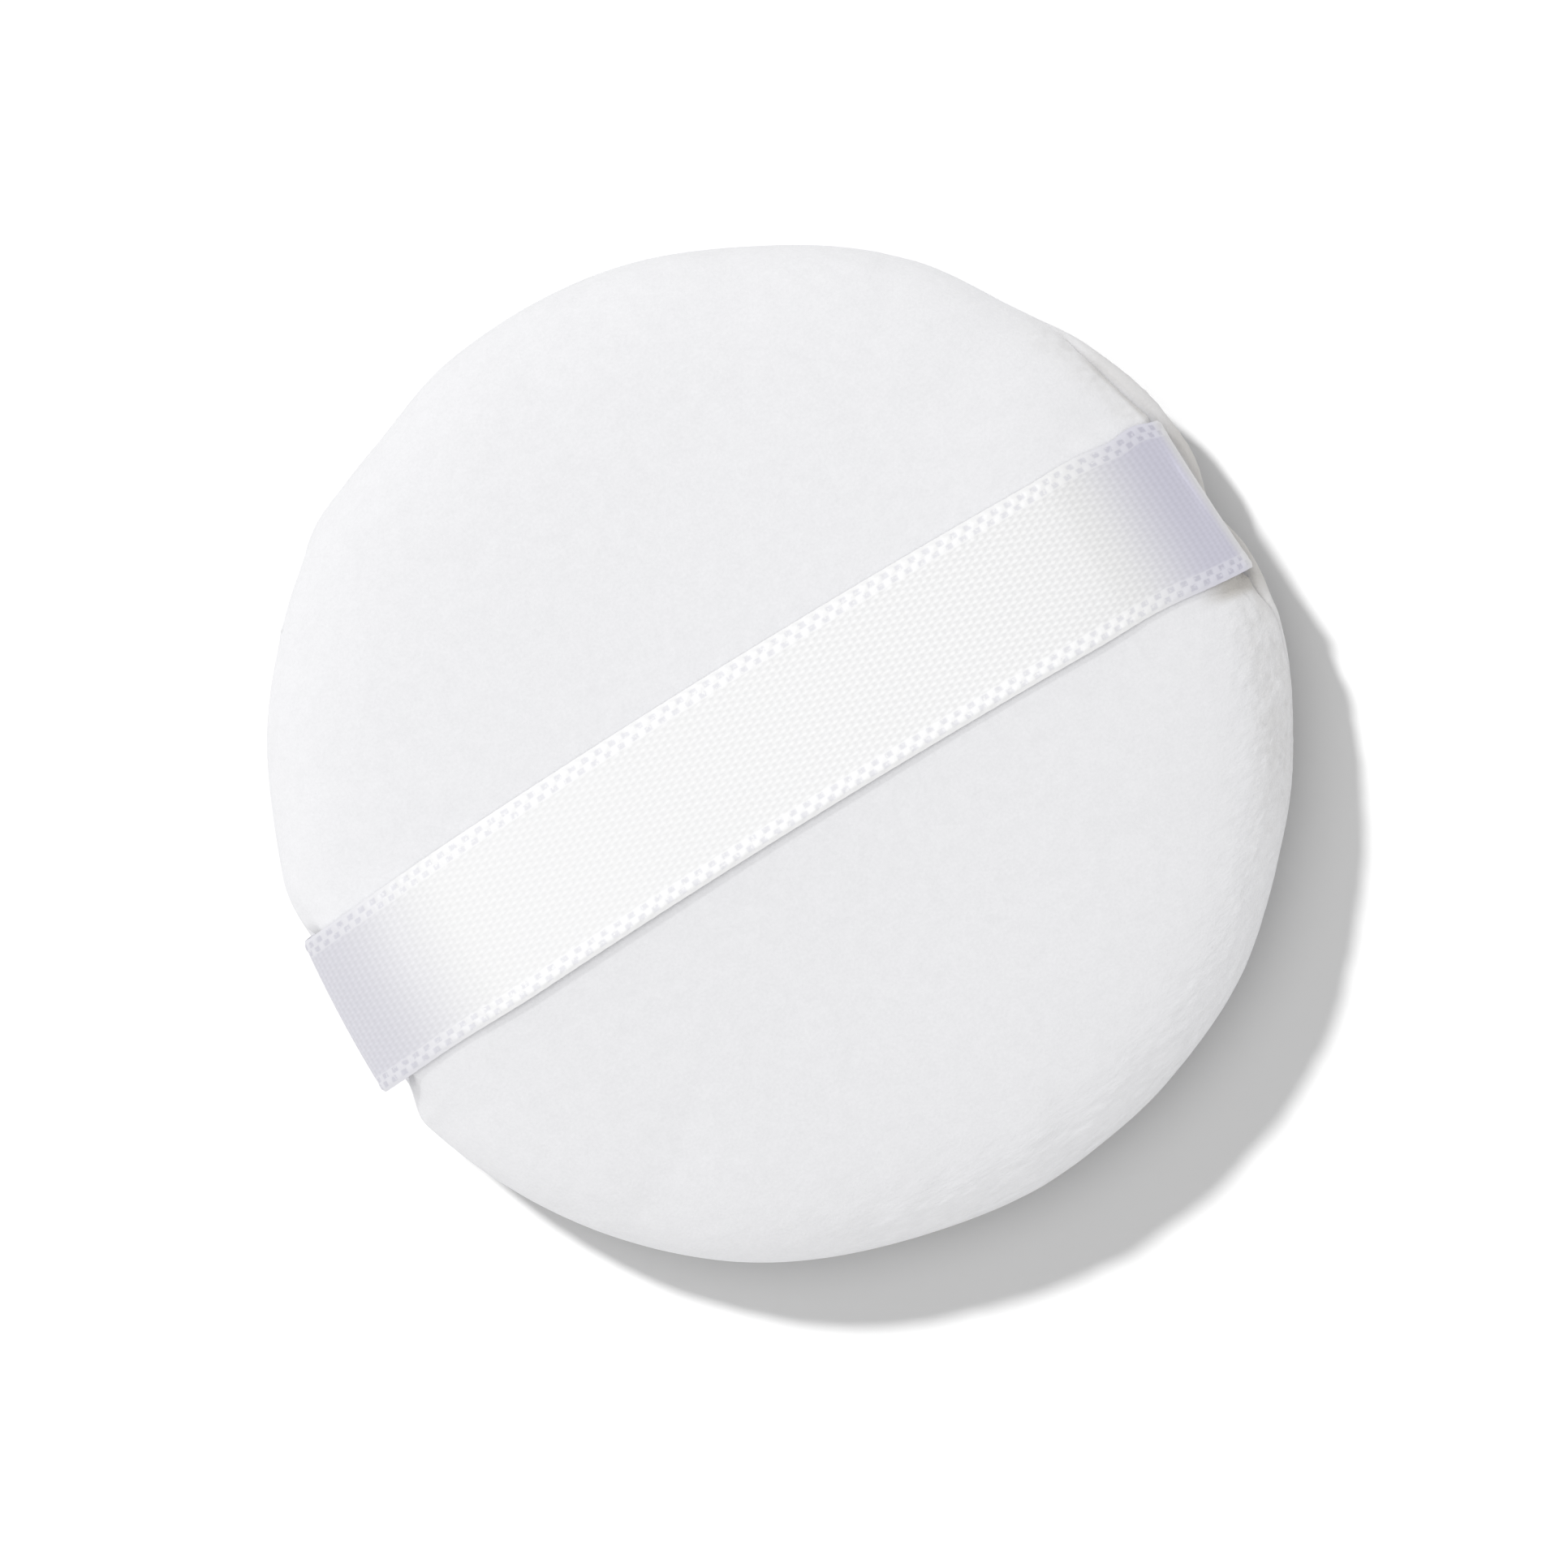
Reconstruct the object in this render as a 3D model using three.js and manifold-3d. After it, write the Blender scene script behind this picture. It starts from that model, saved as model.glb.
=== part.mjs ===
// A sewn powder puff: two velour covers over a foam disc, joined by a turned-in rim seam, with a satin finger
// ribbon that lies across the top and is caught in the seam at both ends. Millimetres, +Z up, ribbon along X,
// origin on the resting surface under the middle of the puff.
import * as THREE from 'three';
import { mergeGeometries, mergeVertices } from 'three/addons/utils/BufferGeometryUtils.js';
import Module from 'manifold-3d';

const wasm = await Module();
wasm.setup();

// Driving dimensions
const puffDiameter = 76.8;
const crownHeight = 7.6;
const seamHeight = 6.5;
const restDiameter = 50;
const shoulderPower = 7.5;
const clothThickness = 1.2;
const allowancePastStitch = 3;
const ribbonWidth = 12.7;
const ribbonThickness = 0.35;
const ribbonTailPastStitch = 2;
const ribbonBow = 1.1;
const spanLength = 32;
const threadDiameter = 0.3;
const stitchCount = 48;
const closingStitchCount = 6;
const closingAngle = -104;
const clearance = 0.3;

// Where the hand-sewn rim runs flat instead of round: angle and half width in degrees, depth in millimetres.
const rimFlats = [
  { angle: 32, halfWidth: 12, depth: 0.5 },
  { angle: 62, halfWidth: 16, depth: 0.4 },
  { angle: 110, halfWidth: 11, depth: 0.55 },
  { angle: 157, halfWidth: 12, depth: 0.35 },
  { angle: 254, halfWidth: 24, depth: 0.65 },
  { angle: 278, halfWidth: 10, depth: 0.3 },
  { angle: 310, halfWidth: 10, depth: 0.3 },
];

// Where a ribbon end draws the seam in, and up onto the top, so that the lower cover stands out beyond it.
const ribbonPulls = [
  { angle: 0, halfWidth: 28, drawIn: 0.2, rise: 2 },
  { angle: 180, halfWidth: 22, drawIn: 0.9, rise: 0.8 },
];
const rimShare = 0.55;
const crownShare = 0.95;

// Mesh fineness
const roundSteps = 48;
const domeSteps = 7;
const turnSteps = 3;
const ribbonSteps = 6;
const holeSides = 4;
const threadSides = 5;

// Sizes that follow from the ones above
const puffRadius = puffDiameter / 2;
const restShare = restDiameter / puffDiameter;
const bottomDepth = seamHeight / Math.sqrt(1 - restShare ** shoulderPower);
const seamHalfGap = clearance / 2;
const ribbonHalfGap = ribbonThickness / 2 + clearance;
const allowanceTop = seamHalfGap + clothThickness;
const threadHeight = allowanceTop + clearance + threadDiameter / 2;
const innerRadius = puffRadius - clothThickness;
const stitchRadius = Math.min(
  radiusAtHeight(innerRadius, crownHeight - clothThickness, threadHeight + threadDiameter / 2 + clearance),
  radiusAtHeight(innerRadius, bottomDepth - clothThickness, threadHeight + threadDiameter / 2 + clearance),
) - threadDiameter / 2 - clearance;
const allowanceRadius = stitchRadius - allowancePastStitch;
const stitchPitch = 360 / stitchCount;
const spanShare = spanLength / puffDiameter;
const ribbonHalfAngle = THREE.MathUtils.radToDeg(Math.asin(ribbonWidth / puffDiameter));

// A dome is r = R sin(t)^(2/power), h = H cos(t): nearly flat on top, with a round shoulder into the rim.
function domePoint(radius, height, t) {
  return new THREE.Vector2(radius * Math.sin(t) ** (2 / shoulderPower), height * Math.cos(t));
}

function domeNormal(radius, height, point) {
  const across = shoulderPower / radius * (point.x / radius) ** (shoulderPower - 1);
  return new THREE.Vector2(across, 2 * point.y / height ** 2).normalize();
}

function radiusAtHeight(radius, height, level) {
  return radius * (1 - (level / height) ** 2) ** (1 / shoulderPower);
}

function evenly(from, to, count) {
  return Array.from({ length: count + 1 }, (_, i) => from + (to - from) * i / count);
}

// Stations down the outside of a cover, from angle start on its dome to the end of the turned-in edge. Each has a
// point (radius, height from the seam plane) and the outward normal there.
function outerStations(height, start, halfGap, steps) {
  const turn = clothThickness;
  const end = Math.acos((halfGap + turn) / height);
  const stations = evenly(start, end, steps).map((t) => {
    const point = domePoint(puffRadius, height, t);
    return { point, normal: domeNormal(puffRadius, height, point) };
  });
  const centre = new THREE.Vector2(domePoint(puffRadius, height, end).x - turn, halfGap + turn);
  for (const a of evenly(0, -Math.PI / 2, turnSteps).slice(1)) {
    const normal = new THREE.Vector2(Math.cos(a), Math.sin(a));
    stations.push({ point: centre.clone().addScaledVector(normal, turn), normal });
  }
  return stations;
}

// Points up the wrong side of a cover from its middle to its seam allowance, moved inwards by depth.
function innerPoints(height, flat, depth) {
  const innerHeight = height - clothThickness;
  const innerFlat = flat - clothThickness;
  const fromFlat = evenly(Math.acos(innerFlat / innerHeight), Math.acos(allowanceTop / innerHeight), domeSteps);
  const points = fromFlat.map((t) => {
    const point = domePoint(innerRadius, innerHeight, t);
    const moved = point.clone().addScaledVector(domeNormal(innerRadius, innerHeight, point), -depth);
    return new THREE.Vector2(moved.x, Math.min(moved.y, innerFlat - depth));
  });
  return flat < height ? [new THREE.Vector2(0, innerFlat - depth), ...points] : points;
}

// The closed section of a cover: crown, shoulder, turned-in edge, seam allowance, and back up the wrong side.
function coverSection(height, flat) {
  const outside = outerStations(height, Math.acos(flat / height), seamHalfGap, domeSteps).map((s) => s.point);
  const middle = flat < height ? [new THREE.Vector2(0, flat)] : [];
  return [
    ...middle,
    ...outside,
    new THREE.Vector2(allowanceRadius, seamHalfGap),
    new THREE.Vector2(allowanceRadius, allowanceTop),
    ...innerPoints(height, flat, 0).reverse(),
  ];
}

// Turns a section about the puff's axis; side is 1 above the seam plane and -1 below it.
function turned(section, side) {
  const points = section.map((p) => new THREE.Vector2(p.x, seamHeight + side * p.y));
  const ordered = side > 0 ? points.reverse() : points;
  return new THREE.LatheGeometry(ordered, roundSteps).rotateX(Math.PI / 2);
}

function welded(geometry) {
  const bare = geometry.clone();
  bare.deleteAttribute('normal');
  bare.deleteAttribute('uv');
  return mergeVertices(bare, 1e-4);
}

function toSolid(geometry) {
  const mesh = welded(geometry);
  const index = Array.from(mesh.index.array);
  const triVerts = [];
  for (let i = 0; i < index.length; i += 3) {
    const [a, b, c] = index.slice(i, i + 3);
    if (a !== b && b !== c && c !== a) triVerts.push(a, b, c);
  }
  const vertProperties = Float32Array.from(mesh.attributes.position.array);
  return new wasm.Manifold(new wasm.Mesh({ numProp: 3, vertProperties, triVerts: Uint32Array.from(triVerts) }));
}

function toGeometry(solid) {
  const mesh = solid.getMesh();
  const geometry = new THREE.BufferGeometry();
  geometry.setAttribute('position', new THREE.BufferAttribute(Float32Array.from(mesh.vertProperties), 3));
  geometry.setIndex(Array.from(mesh.triVerts));
  return geometry;
}

function stitchAngle(k) {
  return THREE.MathUtils.degToRad((k + 0.5) * stitchPitch);
}

function onStitchLine(angle, height) {
  const x = stitchRadius * Math.cos(angle);
  const y = stitchRadius * Math.sin(angle);
  return new THREE.Vector3(x, y, seamHeight + height);
}

// Needle holes through both seam allowances and the ribbon tails between them.
function needleHoles() {
  const flatToFlat = threadDiameter + 2 * clearance;
  const corner = flatToFlat / 2 / Math.cos(Math.PI / holeSides);
  const length = 2 * (allowanceTop + clearance);
  const blanks = evenly(0, stitchCount - 1, stitchCount - 1).map((k) => {
    const place = onStitchLine(stitchAngle(k), 0);
    const blank = new THREE.CylinderGeometry(corner, corner, length, holeSides);
    return blank.rotateX(Math.PI / 2).rotateZ(stitchAngle(k) + Math.PI / holeSides).translate(...place);
  });
  return toSolid(mergeGeometries(blanks.map(welded)));
}

function cover(height, flat, side) {
  const blank = toSolid(turned(coverSection(height, flat), side));
  return toGeometry(blank.subtract(ribbonRoom(1)).subtract(ribbonRoom(-1)).subtract(needleHoles()));
}

// The points of a section that lie within a radius, ended exactly on it.
function within(points, radius) {
  const next = points.findIndex((p) => p.x >= radius);
  const last = points[next - 1];
  const share = (radius - last.x) / (points[next].x - last.x);
  return [...points.slice(0, next), last.clone().lerp(points[next], share)];
}

// The foam disc, cut to lie just inside the seam allowances and swelled to fill both covers.
function spongeCore() {
  const radius = allowanceRadius - clearance;
  const above = within(innerPoints(crownHeight, crownHeight, clearance), radius);
  const below = within(innerPoints(bottomDepth, seamHeight, clearance), radius)
    .map((p) => new THREE.Vector2(p.x, -p.y));
  const edge = evenly(above.at(-1).y, below.at(-1).y, domeSteps).map((h) => new THREE.Vector2(radius, h));
  const section = [...above.slice(0, -1), ...edge, ...below.slice(0, -1).reverse()];
  return toGeometry(toSolid(turned(section, 1)));
}

// A strip that follows stations (points and normals in the XZ plane) between two depths, extruded across X.
function strip(stations, side, inner, outer, width) {
  const edge = (depth) => stations.map(({ point, normal }) => point.clone().addScaledVector(normal, depth));
  const outline = [...edge(inner), ...edge(outer).reverse()];
  const shape = new THREE.Shape(outline.map((p) => new THREE.Vector2(side * p.x, seamHeight + p.y)));
  const across = new THREE.ExtrudeGeometry(shape, { depth: width, steps: ribbonSteps, bevelEnabled: false });
  return toSolid(bowed(across.rotateX(Math.PI / 2).translate(0, width / 2, 0)));
}

// The ribbon lies loose on the crown, so it bows sideways between its sewn ends.
function bowed(geometry) {
  const places = geometry.attributes.position;
  for (let i = 0; i < places.count; i += 1) {
    const fromEnds = Math.max(0, 1 - (places.getX(i) / puffRadius) ** 2);
    const onTop = THREE.MathUtils.smoothstep(places.getZ(i) - seamHeight, allowanceTop, crownHeight);
    places.setY(i, places.getY(i) + ribbonBow * fromEnds * onTop);
  }
  return geometry;
}

function ribbonStrip(stations, side) {
  return strip(stations, side, clearance, clearance + ribbonThickness, ribbonWidth);
}

// A ribbon end's stations, from where it leaves the span, down the shoulder and in to the end of its tail.
function ribbonEndStations(tailEnd) {
  const stations = outerStations(crownHeight, spanEnd, ribbonHalfGap, 2 * domeSteps);
  stations.push({ point: new THREE.Vector2(tailEnd, ribbonHalfGap), normal: new THREE.Vector2(0, -1) });
  return stations;
}

// The room that a ribbon end takes between the covers where it turns into the seam.
function ribbonRoom(side) {
  const stations = ribbonEndStations(allowanceRadius - clearance).slice(-turnSteps - 2);
  return strip(stations, side, 0, ribbonThickness + 2 * clearance, ribbonWidth + 2 * clearance);
}

// Angle on the dome where the part of the ribbon that lifts meets the parts that bend.
const spanEnd = Math.asin(spanShare ** (shoulderPower / 2));

function ribbonSpan() {
  const half = evenly(0, spanEnd, ribbonSteps).map((t) => {
    const point = domePoint(puffRadius, crownHeight, t);
    return { point, normal: domeNormal(puffRadius, crownHeight, point) };
  });
  const mirrored = half.slice(1).reverse().map(({ point, normal }) => ({
    point: new THREE.Vector2(-point.x, point.y),
    normal: new THREE.Vector2(-normal.x, normal.y),
  }));
  return toGeometry(ribbonStrip([...mirrored, ...half], 1));
}

function ribbonEnd(side) {
  const stations = ribbonEndStations(stitchRadius - ribbonTailPastStitch);
  return toGeometry(ribbonStrip(stations, side).subtract(needleHoles()));
}

// One length of running stitch, over and under the seam allowances through count needle holes from hole first.
function runningStitch(first, count) {
  const bend = threadDiameter / stitchRadius;
  const looseEnd = THREE.MathUtils.degToRad(stitchPitch) * 0.4;
  const low = threadHeight - threadDiameter;
  const path = [onStitchLine(stitchAngle(first) - looseEnd, threadHeight)];
  for (let i = 0; i < count; i += 1) {
    const angle = stitchAngle(first + i);
    const side = i % 2 === 0 ? 1 : -1;
    path.push(onStitchLine(angle - bend, side * threadHeight));
    path.push(...[side * low, 0, -side * low].map((height) => onStitchLine(angle, height)));
    path.push(onStitchLine(angle + bend, -side * threadHeight));
  }
  const lastSide = count % 2 === 0 ? 1 : -1;
  path.push(onStitchLine(stitchAngle(first + count - 1) + looseEnd, lastSide * threadHeight));
  return thread(path);
}

// A round thread through the points of a path, with a ring of corners at each point and a fan at each end.
function thread(path) {
  const corners = path.flatMap((point, i) => {
    const along = path[Math.min(i + 1, path.length - 1)].clone().sub(path[Math.max(i - 1, 0)]).normalize();
    const outward = new THREE.Vector3(point.x, point.y, 0).normalize();
    const across = new THREE.Vector3().crossVectors(outward, along).normalize();
    return evenly(0, 2 * Math.PI, threadSides).slice(0, -1).map((a) => point.clone()
      .addScaledVector(outward, threadDiameter / 2 * Math.cos(a))
      .addScaledVector(across, threadDiameter / 2 * Math.sin(a)));
  });
  const faces = [];
  for (let i = 0; i < path.length - 1; i += 1) {
    for (let j = 0; j < threadSides; j += 1) {
      const a = i * threadSides + j;
      const b = i * threadSides + (j + 1) % threadSides;
      faces.push(a, a + threadSides, b, b, a + threadSides, b + threadSides);
    }
  }
  const last = (path.length - 1) * threadSides;
  for (let j = 1; j < threadSides - 1; j += 1) {
    faces.push(0, j, j + 1, last, last + j + 1, last + j);
  }
  const geometry = new THREE.BufferGeometry().setFromPoints(corners);
  geometry.setIndex(faces);
  return geometry;
}

// A smooth hump over angles in degrees: 1 within the flat top, 0 beyond the half width.
function hump(angle, { angle: middle, halfWidth }, flatTop) {
  const away = THREE.MathUtils.euclideanModulo(angle - middle + 180, 360) - 180;
  return 1 - THREE.MathUtils.smoothstep(Math.abs(away), flatTop, halfWidth);
}

// Radius of the drawn-true pad at a height from the seam plane, held steady near the crown.
function padRadius(fromSeam) {
  const level = Math.abs(fromSeam) / (fromSeam > 0 ? crownHeight : bottomDepth);
  return puffRadius * (1 - Math.min(level, crownShare) ** 2) ** (1 / shoulderPower);
}

// Moves a drawn-true piece to how the sewing leaves it: flats round the rim, and the seam drawn in and slid up the
// pad's side at the ribbon's ends. Every piece goes through it, so what fits before still fits after.
function settled(geometry) {
  const places = geometry.attributes.position;
  const p = new THREE.Vector3();
  for (let i = 0; i < places.count; i += 1) {
    p.fromBufferAttribute(places, i);
    const radius = Math.hypot(p.x, p.y);
    const angle = THREE.MathUtils.radToDeg(Math.atan2(p.y, p.x));
    const fromSeam = p.z - seamHeight;
    const atRim = THREE.MathUtils.smoothstep(radius, rimShare * puffRadius, puffRadius);
    const free = Math.max(0, 1 - Math.abs(fromSeam) / (fromSeam > 0 ? crownHeight : seamHeight));
    let inward = 0;
    let rise = 0;
    for (const flat of rimFlats) inward += atRim * flat.depth * hump(angle, flat, 0);
    for (const pull of ribbonPulls) {
      const pulled = atRim * hump(angle, pull, ribbonHalfAngle);
      inward += pull.drawIn * pulled;
      rise += pull.rise * free * pulled;
    }
    const slide = padRadius(fromSeam + rise) / padRadius(fromSeam);
    const share = radius > 0 ? slide - inward / radius : 1;
    places.setXYZ(i, p.x * share, p.y * share, p.z + rise);
  }
  return geometry;
}

function cloth(color, roughness) {
  return new THREE.MeshStandardMaterial({ color, roughness, metalness: 0 });
}

const velour = cloth(0xefeff1, 0.95);
const satin = cloth(0xfbfafc, 0.4);
const foam = cloth(0xf4efe2, 0.9);
const cotton = cloth(0xf6f6f4, 0.7);

const closingFirst = Math.round(closingAngle / stitchPitch - closingStitchCount / 2);
const pieces = {
  top_cover: [cover(crownHeight, crownHeight, 1), velour],
  bottom_cover: [cover(bottomDepth, seamHeight, -1), velour],
  sponge_core: [spongeCore(), foam],
  ribbon_span: [ribbonSpan(), satin],
  ribbon_end_left: [ribbonEnd(-1), satin],
  ribbon_end_right: [ribbonEnd(1), satin],
  seam_thread: [runningStitch(closingFirst + closingStitchCount, stitchCount - closingStitchCount), cotton],
  closing_thread: [runningStitch(closingFirst, closingStitchCount), cotton],
};

const powderPuff = new THREE.Group();
for (const [name, [geometry, material]] of Object.entries(pieces)) {
  const mesh = new THREE.Mesh(settled(geometry), material);
  mesh.geometry.computeVertexNormals();
  mesh.name = name;
  powderPuff.add(mesh);
}

// The origin is on the resting surface, under the middle of the finished puff.
const extent = new THREE.Box3().setFromObject(powderPuff);
const middle = extent.getCenter(new THREE.Vector3());
for (const mesh of powderPuff.children) mesh.geometry.translate(-middle.x, -middle.y, -extent.min.z);

export default powderPuff;
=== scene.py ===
# A velour powder puff with a satin finger ribbon, dressed over its CAD frame.
# Metres, +Z up, the ribbon along X; sizes of cloth and thread are written in millimetres.
import math

import bpy
import numpy as np
from mathutils.bvhtree import BVHTree
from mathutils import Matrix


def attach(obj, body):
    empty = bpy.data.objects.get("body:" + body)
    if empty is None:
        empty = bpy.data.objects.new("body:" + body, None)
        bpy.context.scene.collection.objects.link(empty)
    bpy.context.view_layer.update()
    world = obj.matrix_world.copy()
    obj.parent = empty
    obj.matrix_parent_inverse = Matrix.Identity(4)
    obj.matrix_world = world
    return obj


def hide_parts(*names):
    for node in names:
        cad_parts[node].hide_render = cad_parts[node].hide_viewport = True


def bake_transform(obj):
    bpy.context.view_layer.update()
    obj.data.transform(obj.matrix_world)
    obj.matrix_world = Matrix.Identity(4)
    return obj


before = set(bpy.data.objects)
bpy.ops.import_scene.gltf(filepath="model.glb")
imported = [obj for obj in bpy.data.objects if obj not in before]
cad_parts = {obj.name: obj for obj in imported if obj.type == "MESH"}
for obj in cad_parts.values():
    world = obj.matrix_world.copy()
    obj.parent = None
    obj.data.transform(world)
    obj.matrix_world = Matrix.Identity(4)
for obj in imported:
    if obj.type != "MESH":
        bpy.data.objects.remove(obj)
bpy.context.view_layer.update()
MM = 0.001


# The two covers: discs of white cotton velour, sewn together face to face, turned right side out over the
# sponge and drawn into a soft pillow. The seam runs round the rim, and both edges are turned in at it.
# Where the ribbon is caught the hand-sewn seam is pulled in, and at the right end it rides up onto the top.
PUFF_RADIUS = 38.4
CROWN_HEIGHT = 7.6
SEAM_HEIGHT = 6.5
REST_RADIUS = 25.0
SHOULDER_POWER = 7.5
CLOTH_THICKNESS = 1.2
EDGE_TURN = 0.7
SEAM_HALF_GAP = 0.04
TURN_IN_RADIUS = 37.2
ALLOWANCE_RADIUS = 32.8
BOTTOM_DEPTH = SEAM_HEIGHT / math.sqrt(1 - (REST_RADIUS / PUFF_RADIUS) ** SHOULDER_POWER)
PROFILE_STEPS = 4000
GRID_STEPS = 280
RIM_CROWDING = 0.35

# Where the middle of the drawn-true pad lies in the frame, on the seam plane.
PAD_AXIS = np.array((-0.285, -0.10, SEAM_HEIGHT)) * MM

# Flats round the rim, and two places that stand out (depth below nought): middle angle and half width in
# degrees, depth in millimetres.
RIM_FLATS = (
    (32, 12, 0.5),
    (62, 16, 0.3),
    (110, 11, 0.4),
    (123, 6, -0.3),
    (157, 12, 0.2),
    (256, 24, 0.5),
    (278, 10, 0.2),
    (304, 16, -0.3),
)

# How hand sewing leaves the rim at the ribbon's ends, in stretches: start, full, hold and end in degrees,
# then millimetres. The seam is drawn in and slid up, with short dents, and the cloth bulges beside them.
SEAM_DRAWN_IN = ((-16, -2, 16, 31, 0.85), (-16, -4, 5, 12, 0.2))
SEAM_SLID_UP = ((8, 16, 20, 29, 1.05), (160, 172, 188, 200, 0.4), (-25, -17, -12, -9, 0.55))
RIGHT_DENT = ((-15, -11.5, -9.5, -7.5, 0.3),)
LEFT_DENT = ((163, 175, 190, 195.5, 1.3),)
UPPER_BULGE = ((-50, -32, -18, -13, 0.4), (-30, -21, -16, -12.5, 0.25))
LOWER_BULGE = ((-50, -32, 11, 22, 0.4), (-30, -21, -16, -12.5, 0.25))
BULGE_DROP = ((-2, 6, 14, 26, 0.8), (-34, -23, -14, -10, -1.0))
LOWER_LIP = ((-17, -13, -11, -8, 0.3), (6, 11, 22, 32, 0.3))

# The bulge is widest this far below the seam, and its lower half has a notch under the ribbon's right end.
BULGE_LEVEL = 1.2
BULGE_HALF_HEIGHT = 2.2
NOTCH_ANGLE = -1.5
NOTCH_HALF_ANGLE = 4.8
NOTCH_DEPTH = 1.35

# Under the ribbon's ends the top cover is pressed in and lifted off the seam; at the right end it slumps,
# with a valley along the ribbon's lower edge.
RIBBON_PRESS = 0.3
RIBBON_PARTING = 0.42
RIGHT_SLUMP = 2.2
SLUMP_REACH = (16, 8.5)
VALLEY_DEPTH = 0.45
VALLEY_Y = -7.1
VALLEY_HALF_WIDTH = 0.7
LIP_LEVEL = -0.25
LIP_HALF_HEIGHT = 0.6
DRAWN_IN_HALF_HEIGHT = 2.8

# Where each of these sets in and where it is full, or fades and is gone: as a share of the radius, by the
# distance out along the ribbon or across it, by the radius, or by the height above the seam plane.
RIM_SHARE = (0.55, 1.0)
EDGE_SHARE = (0.94, 0.995)
RIBBON_END_X = (28, 33)
RIBBON_EDGE_Y = (6.5, 7.4)
SLUMP_X = (27, 38.5)
SLUMP_HEIGHT = (0, 5.5)
VALLEY_X = (32.5, 36)
VALLEY_HEIGHT = (0.2, 3)
LIP_RADIUS = (37.2, 38.0)
RIGHT_DENT_FADE = (2.5, 5)
LEFT_DENT_FADE = (1.5, 5)
PRESS_FADE = (2, 5)
PARTING_FADE = (1, 6)
RIBBON_PARTING_HEIGHT = (0.4, 1.5)


def smoothstep(value, low, high):
    share = np.clip((value - low) / (high - low), 0, 1)
    return share * share * (3 - 2 * share)


def bell(away, half_width, power=2):
    return np.exp(-(away / half_width) ** power)


def turned_from(angle, middle):
    return (angle - middle + 180) % 360 - 180


def plateau(angle, start, full, hold, end):
    away = turned_from(angle, (full + hold) / 2)
    half = (hold - full) / 2
    rising = smoothstep(away, start - full - half, -half)
    return rising * (1 - smoothstep(away, half, end - hold + half))


def stretches(angle, table):
    """Sum of a table of stretches round the rim, each with its size where it is full."""
    return sum(size * plateau(angle, *span) for *span, size in table)


def pad_radius(height):
    level = np.abs(height) / np.where(height > 0, CROWN_HEIGHT, BOTTOM_DEPTH)
    return PUFF_RADIUS * (1 - np.minimum(level, 0.995) ** 2) ** (1 / SHOULDER_POWER)


def settled(points, dented=True):
    """Millimetre points drawn true about the pad's axis, moved to how the sewing leaves them.

    The ribbon bridges the dents, so it is settled without them.
    """
    x, y, height = points[..., 0], points[..., 1], points[..., 2]
    radius = np.hypot(x, y)
    angle = np.degrees(np.arctan2(y, x))
    above = np.where(height > 0, 1.0, 0.0)
    at_rim = smoothstep(radius / PUFF_RADIUS, *RIM_SHARE)
    at_edge = smoothstep(radius / PUFF_RADIUS, *EDGE_SHARE)
    at_ribbon = smoothstep(np.abs(x), *RIBBON_END_X) * (1 - smoothstep(np.abs(y), *RIBBON_EDGE_Y))

    inward = np.zeros_like(radius)
    for middle, half, depth in RIM_FLATS:
        inward += at_rim * depth * (1 - smoothstep(np.abs(turned_from(angle, middle)), 0, half))
    inward += above * stretches(angle, SEAM_DRAWN_IN) * at_edge * bell(height, DRAWN_IN_HALF_HEIGHT)
    notch = NOTCH_DEPTH * bell(angle - NOTCH_ANGLE, NOTCH_HALF_ANGLE)
    bulge = np.where(height > 0, stretches(angle, UPPER_BULGE), stretches(angle, LOWER_BULGE) - notch)
    bulge_level = BULGE_LEVEL + stretches(angle, BULGE_DROP)
    inward -= bulge * at_edge * bell(height + bulge_level, BULGE_HALF_HEIGHT)

    parted = RIBBON_PARTING * above * at_ribbon * (1 - smoothstep(height, *PARTING_FADE))
    lip = np.zeros_like(radius)
    valley = np.zeros_like(radius)
    if dented:
        right_dent = above * (1 - smoothstep(height, *RIGHT_DENT_FADE)) * stretches(angle, RIGHT_DENT)
        left_dent = (1 - 0.5 * smoothstep(np.abs(height), *LEFT_DENT_FADE)) * stretches(angle, LEFT_DENT)
        pressed_in = RIBBON_PRESS * above * at_ribbon * (1 - smoothstep(height, *PRESS_FADE))
        inward += at_edge * (right_dent + left_dent + pressed_in)
        lip = stretches(angle, LOWER_LIP) * (1 - above) * bell(height - LIP_LEVEL, LIP_HALF_HEIGHT)
        lip = lip * smoothstep(radius, *LIP_RADIUS)
        valley = bell(y - VALLEY_Y, VALLEY_HALF_WIDTH) * smoothstep(x, *VALLEY_X)
        valley = valley * smoothstep(height, *VALLEY_HEIGHT)
    else:
        parted = parted * smoothstep(height, *RIBBON_PARTING_HEIGHT)

    reach = np.where(height > 0, CROWN_HEIGHT, SEAM_HEIGHT) - EDGE_TURN
    free = np.clip(1 - np.maximum(np.abs(height) - EDGE_TURN, 0) / reach, 0, 1)
    rise = stretches(angle, SEAM_SLID_UP) * free * at_rim
    slide = pad_radius(height + rise) / pad_radius(height)
    share = np.where(radius > 1e-6, slide - inward / np.maximum(radius, 1e-6), 1)
    slump = bell(y, np.where(y > 0, *SLUMP_REACH)) * smoothstep(x, *SLUMP_X)
    slump = slump * smoothstep(height, *SLUMP_HEIGHT)
    level = height + rise + parted + lip - RIGHT_SLUMP * slump - VALLEY_DEPTH * valley
    return np.stack((x * share, y * share, level), axis=-1)


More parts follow.
